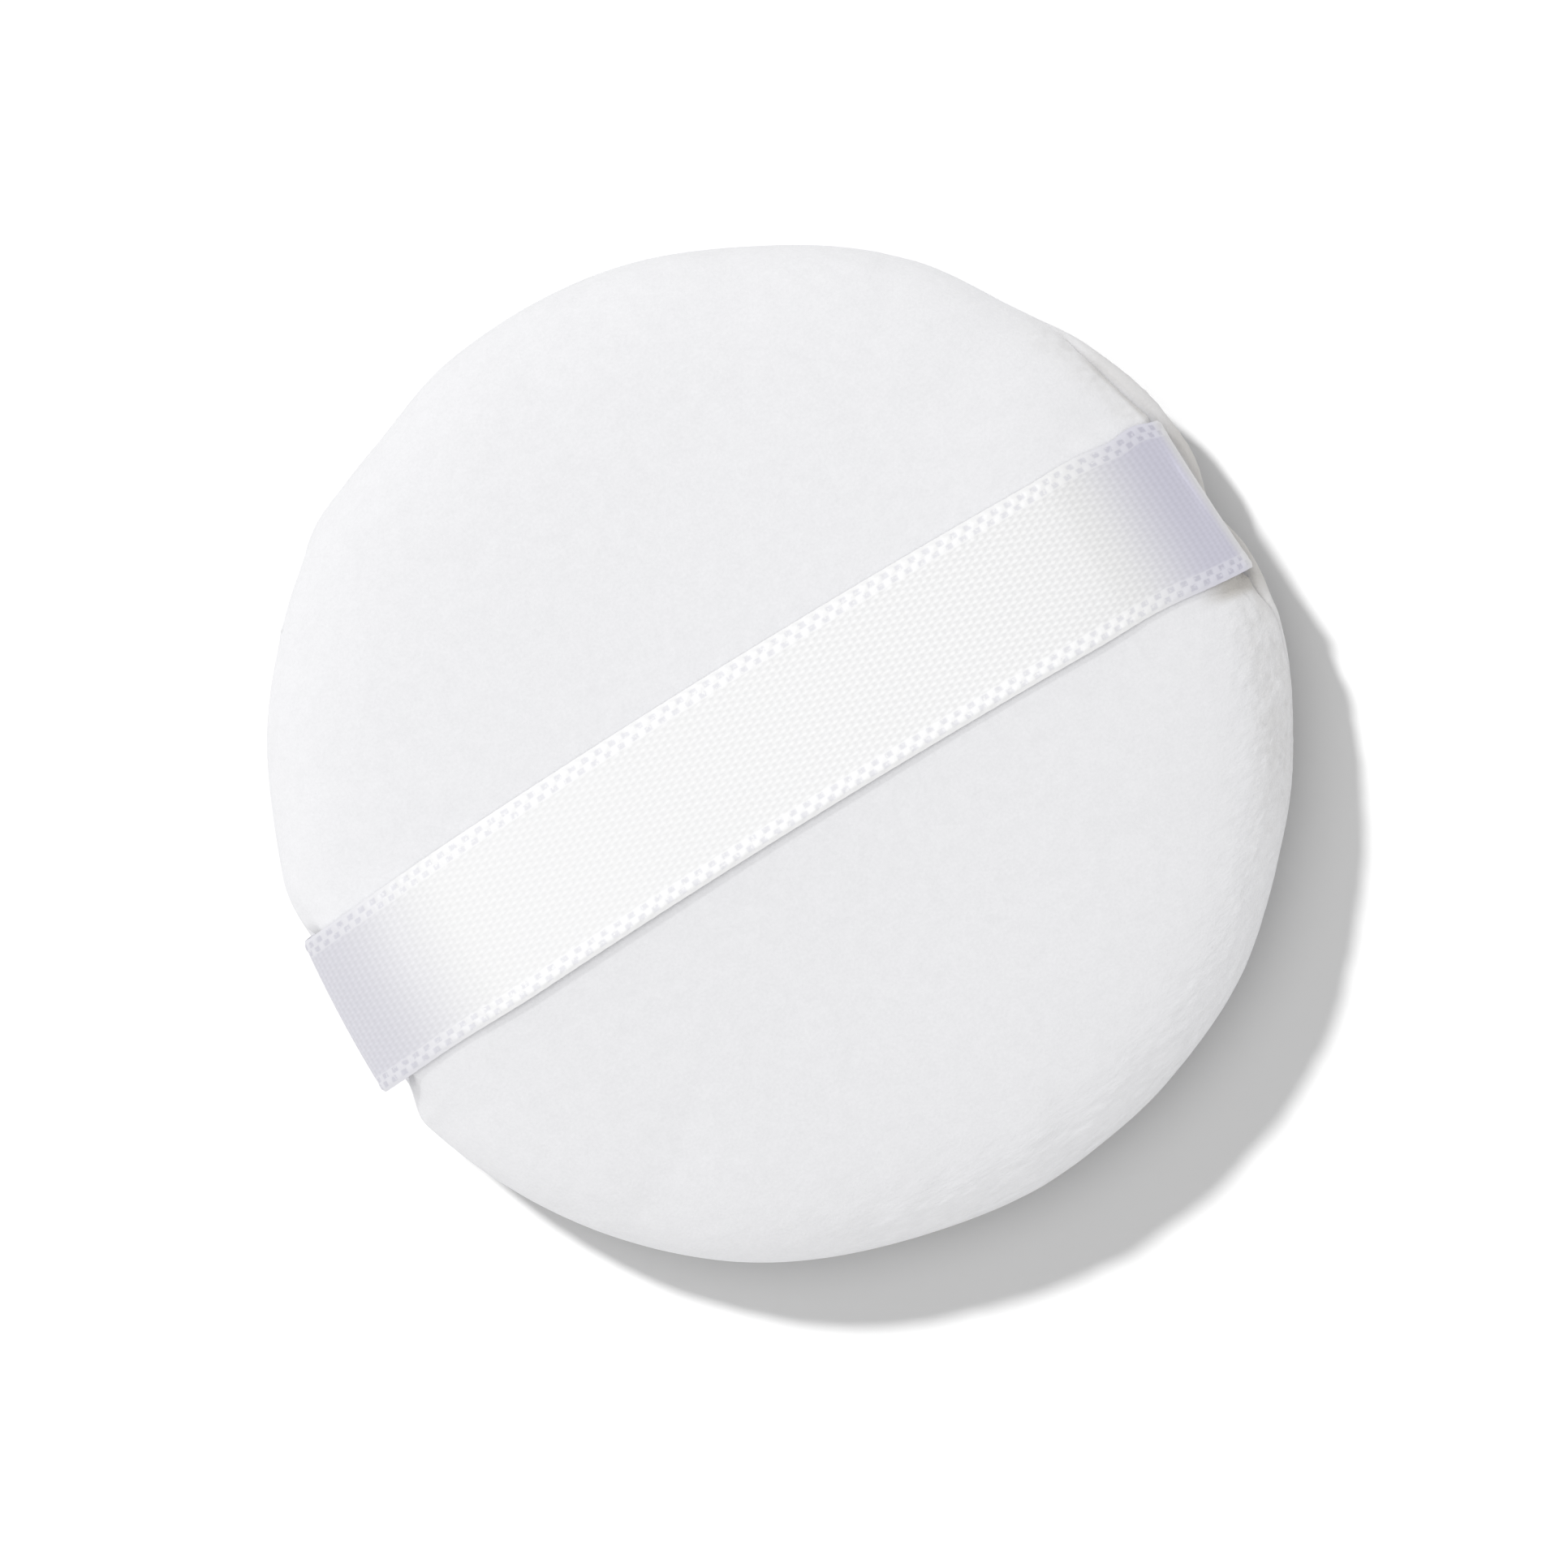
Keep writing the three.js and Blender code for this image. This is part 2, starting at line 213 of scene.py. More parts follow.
def cover_profile(side):
    """Outer section of a cover: radius, height from the seam plane and length so far, from its middle."""
    height, flat_radius = (CROWN_HEIGHT, 0.0) if side > 0 else (BOTTOM_DEPTH, REST_RADIUS)
    start = math.asin((flat_radius / PUFF_RADIUS) ** (SHOULDER_POWER / 2))
    end = math.acos((SEAM_HALF_GAP + EDGE_TURN) / height)
    t = np.linspace(start, end, PROFILE_STEPS)
    radius = PUFF_RADIUS * np.sin(t) ** (2 / SHOULDER_POWER)
    level = height * np.cos(t)
    turn = np.linspace(0, math.pi / 2, 60)[1:]
    centre = radius[-1] - EDGE_TURN
    radius = np.concatenate(([0.0], radius, centre + EDGE_TURN * np.cos(turn)))
    level = np.concatenate(([level[0]], level, SEAM_HALF_GAP + EDGE_TURN * (1 - np.sin(turn))))
    length = np.concatenate(([0.0], np.cumsum(np.hypot(np.diff(radius), np.diff(level)))))
    return radius, level, length


def grid_faces(rows, columns):
    """Faces of a grid with so many steps each way, and the loop of points round its border."""
    row = columns + 1
    corner = (np.arange(rows)[:, None] * row + np.arange(columns)[None, :]).ravel()
    quads = np.stack((corner, corner + row, corner + row + 1, corner + 1), axis=1)
    last = rows * row
    border = np.concatenate((
        np.arange(0, last, row),
        np.arange(last, last + columns),
        np.arange(last + columns, columns, -row),
        np.arange(columns, 0, -1),
    ))
    return quads, border


def disc_grid(steps):
    """A square grid laid on a disc: each point's share of the way to the rim and angle, faces, rim loop."""
    line = np.linspace(-1, 1, steps + 1)
    a, b = np.meshgrid(line, line, indexing="ij")
    share = np.maximum(np.abs(a), np.abs(b))
    wide = np.abs(a) > np.abs(b)
    angle_wide = (math.pi / 4) * b / np.where(wide, a, 1) + np.where(a < 0, math.pi, 0)
    tall = np.where(wide | (b == 0), 1, b)
    angle_tall = math.pi / 2 - (math.pi / 4) * a / tall + np.where(b < 0, math.pi, 0)
    angle = np.where(wide, angle_wide, angle_tall)
    return share.ravel(), angle.ravel(), *grid_faces(steps, steps)


def cover_skin(side, steps):
    """A cover's outside as sewn, on a disc grid with its points closer together at the rim."""
    share, angle, quads, rim = disc_grid(steps)
    radius, level, length = cover_profile(side)
    at = ((1 + RIM_CROWDING) * share - RIM_CROWDING * share ** 2) * length[-1]
    r = np.interp(at, length, radius)
    h = side * np.interp(at, length, level)
    return {
        "share": share,
        "angle": angle,
        "radius": r,
        "height": h,
        "points": settled(np.stack((r * np.cos(angle), r * np.sin(angle), h), axis=1)),
        "quads": quads if side > 0 else quads[:, ::-1],
        "rim": rim,
    }


def mesh_piece(name, points, faces, material=None):
    mesh = bpy.data.meshes.new(name)
    mesh.from_pydata(points.tolist(), [], faces)
    mesh.shade_smooth()
    if material:
        mesh.materials.append(material)
    piece = bpy.data.objects.new(name, mesh)
    bpy.context.scene.collection.objects.link(piece)
    return piece


# The sponge presses the covers out: cloth under pressure, ten times life size, held at the seam and where
# the puff rests. Only the shape of the swelling is kept, scaled so that the crown rises by SWELL.
FORM_STEPS = 48
FORM_SCALE = 0.01
FORM_FRAMES = 20
SWELL = 1.1
form_skins = [cover_skin(side, FORM_STEPS) for side in (1, -1)]
form_points = np.concatenate([skin["points"] for skin in form_skins])
form_count = len(form_skins[0]["points"])
form_faces = np.concatenate([skin["quads"] + k * form_count for k, skin in enumerate(form_skins)])
form = mesh_piece("swelling_form", form_points * FORM_SCALE, form_faces.tolist())
held = [k * form_count + i for k, skin in enumerate(form_skins) for i in skin["rim"]]
held += [form_count + i for i in np.flatnonzero(form_skins[1]["radius"] < REST_RADIUS)]
form.vertex_groups.new(name="held").add([int(i) for i in held], 1.0, "REPLACE")
pressed = form.modifiers.new("pressed", "CLOTH")
pressed.settings.quality = 6
pressed.settings.vertex_group_mass = "held"
pressed.settings.use_pressure = True
pressed.settings.uniform_pressure_force = 4
pressed.settings.effector_weights.gravity = 0
pressed.point_cache.frame_start = 1
pressed.point_cache.frame_end = FORM_FRAMES
for frame_number in range(1, FORM_FRAMES + 1):
    bpy.context.scene.frame_set(frame_number)
blown = form.evaluated_get(bpy.context.evaluated_depsgraph_get()).to_mesh()
moved = np.empty(3 * len(form_points))
blown.vertices.foreach_get("co", moved)
moved = moved.reshape(-1, 3) / FORM_SCALE - form_points
bpy.context.scene.frame_set(1)
bpy.data.objects.remove(form)
moved *= SWELL / np.abs(moved[:form_count, 2]).max()
form_moves = moved.reshape(2, FORM_STEPS + 1, FORM_STEPS + 1, 3)


def spline_weights(at, count):
    """Cubic spline weights of count even stations from -1 to 1 for each place at."""
    away = np.abs((at[:, None] + 1) / 2 * (count - 1) - np.arange(count)[None, :])
    near = 2 / 3 - away ** 2 + away ** 3 / 2
    far = np.clip(2 - away, 0, None) ** 3 / 6
    weights = np.where(away < 1, near, far)
    return weights / weights.sum(axis=1, keepdims=True)


def swelled(points, share, angle, side):
    """Settled points moved by the swelling at their place on the disc."""
    turn = np.round(angle / (math.pi / 2)) * (math.pi / 2)
    cross = share * (angle - turn) / (math.pi / 4)
    a = share * np.cos(turn) - cross * np.sin(turn)
    b = share * np.sin(turn) + cross * np.cos(turn)
    across, along = spline_weights(a, FORM_STEPS + 1), spline_weights(b, FORM_STEPS + 1)
    moves = form_moves[0 if side > 0 else 1]
    return points + np.stack([(across @ moves[..., k] * along).sum(axis=1) for k in range(3)], axis=1)


# The pile: a short nap all over, brushed into rows on the rim away from the lamp, and matted, painted
# greyer, at the right end. Heights in millimetres; stretches as above, then how strong the mark is.
NAP_FINE = 0.01
NAP_FINE_SIZE = 1.1
NAP_BROAD = 0.04
NAP_BROAD_SIZE = 6.0
NAP_ROWS = 0.08
ROW_SIZE = np.array((1.7, 0.45, 0.45))
NAP_HEIGHT = (0.3, 1.5)
NAP_REST_SHARE = (0.9, 1.15)
BRUSHED_ALL_ROUND = 0.12
BRUSHED_SIDE = ((-128, -98, -22, 10, 0.88),)
BRUSHED_RADIUS = (31, 36.5)
MATTED_END = ((-50, -28, 22, 33, 1.0),)
MATTED_RADIUS = (34.6, 37)
NAP_TUFTS = 0.1
TUFT_LENGTH = 1.2
TUFT_WIDTH = 0.4
TUFT_HEIGHT = 0.8
TUFT_SPECK = 0.42

# Painted shade, a warm grey in the pile's colour: in the tuck under the ribbon's right corner, in the groove
# beside it, as painted shadow on the lip beyond, and in the hollows between tufts. The matted patch is
# painted greyer all over.
TUCK_SHADE_ANGLE = -11.1
TUCK_SHADE_HALF_ANGLE = 1.6
TUCK_SHADE_START = (33, 36.2)
TUCK_SHADE_END = (37.5, 38.4)
GROOVE_SHADE = ((8, 12, 18, 24, 0.6),)
GROOVE_SHADE_RADIUS = 37.2
GROOVE_SHADE_HALF_WIDTH = 0.35
LIP_SHADOW = ((-18, -14, 18, 27, 0.35), (-14, -11, 6, 11, 0.4))
LIP_SHADOW_RADIUS = (37.1, 37.6)
PAINTED_SHADE_HEIGHT = (-2.5, -0.5)
MATTED_GREYING = 0.12
HOLLOW_SHADE = 0.14
HOLLOW_DEPTH = (-0.4, 0.6)

# Painted light on the top: a little lighter on the lamp's side of the ribbon's middle, and darker beyond it.
LAMP_SIDE_MIDDLE = 0.5
LAMP_SIDE_SPREAD = 4.0


def value_noise(points, size, seed):
    """Smooth random values from -1 to 1 over points, with features about size across."""
    cell = points / size
    low = np.floor(cell).astype(np.int64)
    part = cell - low
    part = part * part * (3 - 2 * part)
    total = np.zeros(len(points))
    for corner in np.ndindex(2, 2, 2):
        at = low + np.array(corner)
        key = (at[:, 0] * 73856093) ^ (at[:, 1] * 19349663) ^ (at[:, 2] * 83492791) ^ (seed * 2654435)
        key = (key ^ (key >> 13)) * 1274126177 & 0x7FFFFFFF
        key = (key ^ (key >> 16)) & 0xFFFF
        weight = np.prod(np.where(corner, part, 1 - part), axis=1)
        total += weight * (key / 32767.5 - 1)
    return total


def normals_of(points, quads):
    facing = np.cross(points[quads[:, 2]] - points[quads[:, 0]], points[quads[:, 3]] - points[quads[:, 1]])
    normals = np.zeros_like(points)
    for k in range(4):
        np.add.at(normals, quads[:, k], facing)
    return normals / np.maximum(np.linalg.norm(normals, axis=1), 1e-12)[:, None]


def round_the_puff(points):
    """Radius in millimetres and angle in degrees of points about the pad's axis."""
    x, y = points[:, 0], points[:, 1]
    return np.hypot(x, y), np.degrees(np.arctan2(y, x))


def brushed_rows(points, radius):
    """How far the pile is brushed into rows: on the rim, most on the side away from the lamp."""
    _, angle = round_the_puff(points)
    return smoothstep(radius, *BRUSHED_RADIUS) * (BRUSHED_ALL_ROUND + stretches(angle, BRUSHED_SIDE))


def painted_pile_shade(points):
    """Where painted shade goes: the tuck under the ribbon's right corner, the groove beyond it and the lip.
    """
    radius, angle = round_the_puff(points)
    tuck = bell(angle - TUCK_SHADE_ANGLE, TUCK_SHADE_HALF_ANGLE, power=4)
    tuck = tuck * smoothstep(radius, *TUCK_SHADE_START) * (1 - smoothstep(radius, *TUCK_SHADE_END))
    groove = stretches(angle, GROOVE_SHADE) * bell(radius - GROOVE_SHADE_RADIUS, GROOVE_SHADE_HALF_WIDTH)
    beyond = stretches(angle, LIP_SHADOW) * smoothstep(radius, *LIP_SHADOW_RADIUS)
    return np.maximum(np.maximum(tuck, groove), beyond) * smoothstep(points[:, 2], *PAINTED_SHADE_HEIGHT)


def matted_tufts(points):
    """Where handling has matted the pile, at the right end, and the height of its tufts from -1 to 1."""
    radius, angle = round_the_puff(points)
    where = stretches(angle, MATTED_END) * smoothstep(radius, *MATTED_RADIUS)
    round_rim = 38 * np.radians(angle) + 0.5 * radius
    lying = np.stack((radius / TUFT_LENGTH, round_rim / TUFT_WIDTH, points[:, 2] / TUFT_HEIGHT), axis=1)
    return where, 0.6 * value_noise(lying, 1.0, seed=17) + 0.4 * value_noise(points, TUFT_SPECK, seed=19)


def lining_rings(side):
    """Radius and height of the rings inside a cover: round its seam allowance, then up its inner face."""
    height, flat = (CROWN_HEIGHT, CROWN_HEIGHT) if side > 0 else (BOTTOM_DEPTH, SEAM_HEIGHT)
    inner_height = height - CLOTH_THICKNESS
    t = np.linspace(math.acos((SEAM_HALF_GAP + CLOTH_THICKNESS) / inner_height), 0.25, 7)
    radii = [TURN_IN_RADIUS, ALLOWANCE_RADIUS, ALLOWANCE_RADIUS]
    radii += list((PUFF_RADIUS - CLOTH_THICKNESS) * np.sin(t) ** (2 / SHOULDER_POWER))
    levels = [SEAM_HALF_GAP, SEAM_HALF_GAP, SEAM_HALF_GAP + CLOTH_THICKNESS]
    levels += list(np.minimum(inner_height * np.cos(t), flat - CLOTH_THICKNESS))
    return zip(radii, levels)


def store_marks(piece, marks):
    """Keep named values at a mesh's points, for its material to read."""
    for label, values in marks.items():
        stored = piece.data.attributes.new(label, "FLOAT", "POINT")
        stored.data.foreach_set("value", values.astype(np.float32))


def cover_piece(name, side, material):
    skin = cover_skin(side, GRID_STEPS)
    quads, rim, r = skin["quads"], skin["rim"], skin["radius"]
    outer = swelled(skin["points"], skin["share"], skin["angle"], side)
    normals = normals_of(outer, quads)
    free = smoothstep(np.abs(skin["height"]), *NAP_HEIGHT)
    if side < 0:
        free = free * smoothstep(r / REST_RADIUS, *NAP_REST_SHARE)
    brushed = brushed_rows(outer, r)
    matted, tufts = matted_tufts(outer)
    nap = NAP_FINE * value_noise(outer, NAP_FINE_SIZE, seed=3)
    nap = nap + NAP_BROAD * value_noise(outer, NAP_BROAD_SIZE, seed=5)
    nap = nap + NAP_ROWS * value_noise(outer / ROW_SIZE, 1.0, seed=11) * brushed
    nap = nap + NAP_TUFTS * matted * tufts
    outer = outer + normals * (nap * free)[:, None]

    points = [outer]
    faces = quads.tolist()
    before = rim
    around = skin["angle"][rim]
    start = len(outer)
    for ring_radius, ring_level in lining_rings(side):
        ring = np.stack((
            ring_radius * np.cos(around),
            ring_radius * np.sin(around),
            np.full(len(around), side * ring_level),
        ), axis=1)
        points.append(settled(ring))
        now = start + np.arange(len(rim))
        band = np.stack((before, np.roll(before, -1), np.roll(now, -1), now), axis=1)
        faces += (band[:, ::-1] if side > 0 else band).tolist()
        before = now
        start += len(rim)
    faces.append((before[::-1] if side > 0 else before).tolist())
    placed = np.concatenate(points) * MM + PAD_AXIS
    placed[:, 2] = np.maximum(placed[:, 2], 0)
    piece = mesh_piece(name, placed, faces, material)

    hidden = len(placed) - len(outer)
    # Painted shade: the tuck, groove and lip, and the matted patch greyer, darkest in its hollows.
    on_matted = MATTED_GREYING + HOLLOW_SHADE * smoothstep(-tufts, *HOLLOW_DEPTH)
    painted_shade = np.maximum(painted_pile_shade(outer), matted * on_matted)
    # Painted light: lighter towards the lamp, darker away from it, on the top cover only.
    painted_lamp_side = np.tanh((placed[:, 1] - LAMP_SIDE_MIDDLE * MM) / (LAMP_SIDE_SPREAD * MM)) * (1 if side > 0 else 0)
    store_marks(piece, {
        "brushed": np.pad(brushed, (0, hidden)),
        "painted_pile_shade": np.pad(painted_shade, (0, hidden)),
        "painted_lamp_side": painted_lamp_side,
    })
    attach(piece, "pad")
    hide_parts(name)
    return piece


def new_material(name):
    material = bpy.data.materials.new(name)
    material.use_nodes = True
    return material, material.node_tree, material.node_tree.nodes["Principled BSDF"]


def set_input(tree, socket, value):
    """Set a socket to a plain value, or feed it from another node's output."""
    if isinstance(value, bpy.types.NodeSocket):
        tree.links.new(value, socket)
    else:
        socket.default_value = value


def set_inputs(tree, node, inputs):
    for label, value in inputs.items():
        set_input(tree, node.inputs[label], value)


def shader_node(tree, kind, inputs=None, **settings):
    node = tree.nodes.new("ShaderNode" + kind)
    for label, value in settings.items():
        setattr(node, label, value)
    set_inputs(tree, node, inputs or {})
    return node


def math_node(tree, operation, *values):
    node = shader_node(tree, "Math", operation=operation)
    for socket, value in zip(node.inputs, values):
        set_input(tree, socket, value)
    return node.outputs["Value"]


def object_place(tree):
    return shader_node(tree, "TexCoord").outputs["Object"]


def mark(tree, label):
    return shader_node(tree, "Attribute", attribute_name=label).outputs["Fac"]


def noise(tree, place, scale, detail, roughness=0.5):
    inputs = {"Vector": place, "Scale": scale, "Detail": detail, "Roughness": roughness}
    return shader_node(tree, "TexNoise", inputs).outputs["Fac"]


def mixed(tree, kind, factor, a, b):
    inputs = {"Factor": factor, "A": a, "B": b}
    return shader_node(tree, "Mix", inputs, data_type=kind).outputs["Result"]


def remapped(tree, value, old, new=(0.0, 1.0), curve="LINEAR"):
    inputs = {"Value": value, "From Min": old[0], "From Max": old[1], "To Min": new[0], "To Max": new[1]}
    return shader_node(tree, "MapRange", inputs, interpolation_type=curve).outputs["Result"]


def two_tone(tree, factor, low, high):
    """A colour ramp between two stops, each a position and a colour."""
    node = shader_node(tree, "ValToRGB", {"Fac": factor})
    for stop, (position, colour) in zip(node.color_ramp.elements, (low, high)):
        stop.position = position
        stop.color = colour
    return node.outputs["Color"]


def bumped(tree, height, strength, distance):
    inputs = {"Height": height, "Strength": strength, "Distance": distance}
    return shader_node(tree, "Bump", inputs).outputs["Normal"]


velour, tree, surface = new_material("white_velour")
place = object_place(tree)
brushed = mark(tree, "brushed")
grain = noise(tree, place, scale=4200, detail=3)
stretched = shader_node(tree, "Mapping", {"Vector": place, "Scale": (0.25, 1.0, 1.0)}).outputs["Vector"]
rows = noise(tree, stretched, scale=2600, detail=3, roughness=0.65)
pile = mixed(tree, "FLOAT", brushed, grain, rows)
tone = two_tone(tree, pile, (0.3, (0.86, 0.86, 0.875, 1)), (0.7, (0.895, 0.895, 0.91, 1)))
# Painted light: the top a little lighter on the lamp's side, a little darker away from it.
lamp_side_light = remapped(tree, mark(tree, "painted_lamp_side"), old=(-1.0, 1.0), new=(0.982, 1.012))
clumps = noise(tree, place, scale=800, detail=4, roughness=0.6)
clumped = remapped(tree, clumps, old=(0.3, 0.7), new=(0.986, 1.014))
shade = math_node(tree, "MULTIPLY", lamp_side_light, clumped)
shaded = shader_node(tree, "VectorMath", {"Vector": tone, "Scale": shade}, operation="SCALE")
# Painted shade: a warm grey mixed into the pile where the cover's marks say.
with_painted_shade = mixed(tree, "RGBA", mark(tree, "painted_pile_shade"), shaded.outputs["Vector"], (0.58, 0.56, 0.53, 1))
raised = math_node(tree, "MULTIPLY_ADD", brushed, 6.5, 1.0)
raised = math_node(tree, "MULTIPLY", raised, pile)
set_inputs(tree, surface, {
    "Base Color": with_painted_shade,
    "Roughness": 0.95,
    "Diffuse Roughness": 0.3,
    "Specular IOR Level": 0.15,
    "Sheen Weight": 0.03,
    "Sheen Roughness": 0.6,
    "Normal": bumped(tree, raised, strength=0.25, distance=0.12 * MM),
})

top_cover = cover_piece("top_cover", 1, velour)
cover_piece("bottom_cover", -1, velour)


# The sponge: a disc of cream open-cell foam, cut a little smaller than the covers and crowned by them. It
# fills the puff inside the seam allowances and is not seen from outside.
SPONGE_RADIUS = 32.4
SPONGE_TOP = 6.05
SPONGE_BOTTOM = 4.95
SPONGE_CORNER = 1.4
SPONGE_CORNER_SHARE = 1 / 12
SPONGE_STEPS = 96


def closed_faces(quads, border, count):
    """Faces of a slab: a grid, the same grid turned over count points later, and the wall round both."""
    following = np.roll(border, -1)
    wall = np.stack((border, border + count, following + count, following), axis=1)
    return np.concatenate((quads, quads[:, ::-1] + count, wall))


foam, tree, surface = new_material("cream_foam")
cells = shader_node(tree, "TexVoronoi", {"Vector": object_place(tree), "Scale": 1600}).outputs["Distance"]
set_inputs(tree, surface, {
    "Base Color": two_tone(tree, cells, (0.25, (0.78, 0.74, 0.65, 1)), (0.6, (0.93, 0.90, 0.83, 1))),
    "Roughness": 0.9,
    "Specular IOR Level": 0.2,
    "Normal": bumped(tree, cells, strength=0.6, distance=0.2 * MM),
})

share, angle, quads, rim = disc_grid(SPONGE_STEPS)
sponge_r = SPONGE_RADIUS * np.sin(share * math.pi / 2)
crowned = np.sqrt(1 - (sponge_r / (PUFF_RADIUS - CLOTH_THICKNESS)) ** SHOULDER_POWER)
in_corner = np.clip((sponge_r / SPONGE_RADIUS - 1) / SPONGE_CORNER_SHARE + 1, 0, 1)
rounded = SPONGE_CORNER * (1 - np.sqrt(1 - in_corner ** 2))
halves = []
for level in (SPONGE_TOP * crowned - rounded, rounded - SPONGE_BOTTOM * crowned):
    halves.append(settled(np.stack((sponge_r * np.cos(angle), sponge_r * np.sin(angle), level), axis=1)))
sponge_faces = closed_faces(quads, rim, len(halves[0])).tolist()
sponge = mesh_piece("sponge", np.concatenate(halves) * MM + PAD_AXIS, sponge_faces, foam)
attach(sponge, "pad")
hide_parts("sponge_core")


# The sewing: white cotton thread in a running stitch through both turned-in edges, hidden inside the rim.
# One short stretch has a thread of its own: it was closed last, by hand, after the sponge went in.
cotton, tree, surface = new_material("white_cotton_thread")
wave = {"Vector": object_place(tree), "Scale": 1100, "Distortion": 1.5, "Detail": 2}
plies = shader_node(tree, "TexWave", wave, bands_direction="DIAGONAL").outputs["Fac"]
set_inputs(tree, surface, {
    "Base Color": two_tone(tree, plies, (0.0, (0.80, 0.80, 0.79, 1)), (1.0, (0.93, 0.93, 0.92, 1))),
    "Roughness": 0.8,
    "Normal": bumped(tree, plies, strength=0.5, distance=0.05 * MM),
})
for node in ("seam_thread", "closing_thread"):
    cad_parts[node].data.materials.clear()
    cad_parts[node].data.materials.append(cotton)


# The finger ribbon: one length of half-inch white satin with a beaded selvedge down both sides. It lies
# loose across the top, a little bowed, and its ends fold over the rim and are caught in the seam.
RIBBON_WIDTH = 12.7
RIBBON_THICKNESS = 0.35
RIBBON_LIFT = 0.15
CLEARANCE = 0.06
RIBBON_BOW = 1.17
BOW_MIDDLE = 5.0
BOW_FALL = 0.0007
BOW_HEIGHT = (0.3, 1.2)
RIGHT_TURN = 0.63
RIGHT_TURN_X = (28, 38)
TAIL_END = 33.6
ROW_STEP = 0.16
SELVEDGE_COLUMNS = 11
FACE_COLUMNS = 41
SMOOTHING_PASSES = 4
SHARP_ANGLE = 55

# The selvedge, thinned at its edge. Rows of beads: place in from the edge, half width, turn and height.
# Gaps between the beads, where shade is painted: place out from the ribbon's middle, half width and turn.
SELVEDGE_WIDTH = 1.25
EDGE_THINNING = 0.68
EDGE_ROUNDING = 0.2
BEAD_PITCH = 1.18
BEAD_ROWS = ((0.45, 0.28, 0.0, 0.04), (1.0, 0.26, 2.8, 0.03))
BEAD_GAPS = ((5.88, 0.28, math.pi), (5.33, 0.26, 0.35))
BEAD_SWING = (-0.5, 0.5)
UNDERSIDE_RELIEF = 0.3
SCALLOP = 0.02
SCALLOP_REACH = 0.3

# The satin's floats: their pitch along the ribbon and across it.
FLOAT_LENGTH = 1.18
FLOAT_WIDTH = 0.54

# How far out the folds lie at the ribbon's upper and lower edge, at its left and right end.
FOLD_OUT = {-1: (37.6, 38.28), 1: (37.25, 37.68)}
FOLD_BULGE = {-1: 0.2, 1: -0.1}
# Painted light on the right fold's rounded edge: how strong at each end, and how far in from the fold it
# fades.
FOLD_PAINTED_LIGHT = {-1: 0, 1: 0.8}
FOLD_LIGHT_REACH = (0.05, 0.85)
FOLD_DRAW_X = (22, 36)

# Towards its right end the ribbon's upper edge spreads, most just before the fold.
RIGHT_SPREAD = 0.3
RIGHT_SPREAD_X = (26, 32)
FOLD_SPREAD = 0.45
FOLD_SPREAD_X = 36
FOLD_SPREAD_HALF_LENGTH = 1.4

# Between its ends the ribbon is slack: its lower edge stands off the cover, more towards the left.
SLACK_SPAN = (24, 33.5)
SLACK_LIFT = 0.22
LIFT_FALL = 0.1
LIFT_FALL_X = (4, 14)
SLACK_WIDENING = 0.024
SLACK_SHIFT = 0.14

# Painted shade: how far the satin is painted darker and lavender where an end slopes down, towards the lamp
# and away from it.
PAINTED_BEND_SHADE = {-1: 0.56, 1: 1.0}
PAINTED_BEND_SPAN = {-1: (26.5, 37), 1: (28, 35.5)}

# Heights above the seam plane over which the ribbon comes up from the seam, swells with the crown, and is
# kept clear of the outer face of the top cover.
LIFT_HEIGHT = (0.5, 3.0)
OUTSIDE_HEIGHT = 1.5
SWELL_HEIGHT = (1.0, 4.0)
CLEAR_HEIGHT = (1.0, 2.2)

# The outer face of the top cover, which the ribbon must lie clear of.
top_faces = [list(face.vertices) for face in top_cover.data.polygons[:GRID_STEPS ** 2]]
top_skin = BVHTree.FromPolygons([vertex.co for vertex in top_cover.data.vertices], top_faces)


def ribbon_stations():
    """Section of the ribbon's middle layer from x = 0 over the shoulder into the seam, and length so far."""
    gap = RIBBON_THICKNESS / 2 + SEAM_HALF_GAP
    end = math.acos((gap + EDGE_TURN) / CROWN_HEIGHT)
    t = np.linspace(0.0, end, PROFILE_STEPS)
    radius = PUFF_RADIUS * np.sin(t) ** (2 / SHOULDER_POWER)
    level = CROWN_HEIGHT * np.cos(t)
    across = SHOULDER_POWER / PUFF_RADIUS * (radius / PUFF_RADIUS) ** (SHOULDER_POWER - 1)
    up = 2 * level / CROWN_HEIGHT ** 2
    size = np.hypot(across, up)
    normal = np.stack((across / size, up / size), axis=1)
    point = np.stack((radius, level), axis=1)
    a = np.linspace(0, -math.pi / 2, 80)[1:]
    turn = np.stack((np.cos(a), np.sin(a)), axis=1)
    turn_middle = np.array((radius[-1] - EDGE_TURN, gap + EDGE_TURN))
    point = np.concatenate((point, turn_middle + EDGE_TURN * turn))
    normal = np.concatenate((normal, turn))
    tail = np.linspace(point[-1, 0], TAIL_END, 40)[1:]
    point = np.concatenate((point, np.stack((tail, np.full(len(tail), gap)), axis=1)))
    normal = np.concatenate((normal, np.tile((0.0, -1.0), (len(tail), 1))))
    middle = point + normal * (RIBBON_LIFT * smoothstep(point[:, 1], *LIFT_HEIGHT))[:, None]
    outside = RIBBON_THICKNESS / 2 * smoothstep(point[:, 1], gap, OUTSIDE_HEIGHT)
    middle = middle + normal * outside[:, None]
    length = np.concatenate(([0.0], np.cumsum(np.linalg.norm(np.diff(middle, axis=0), axis=1))))
    return middle, length


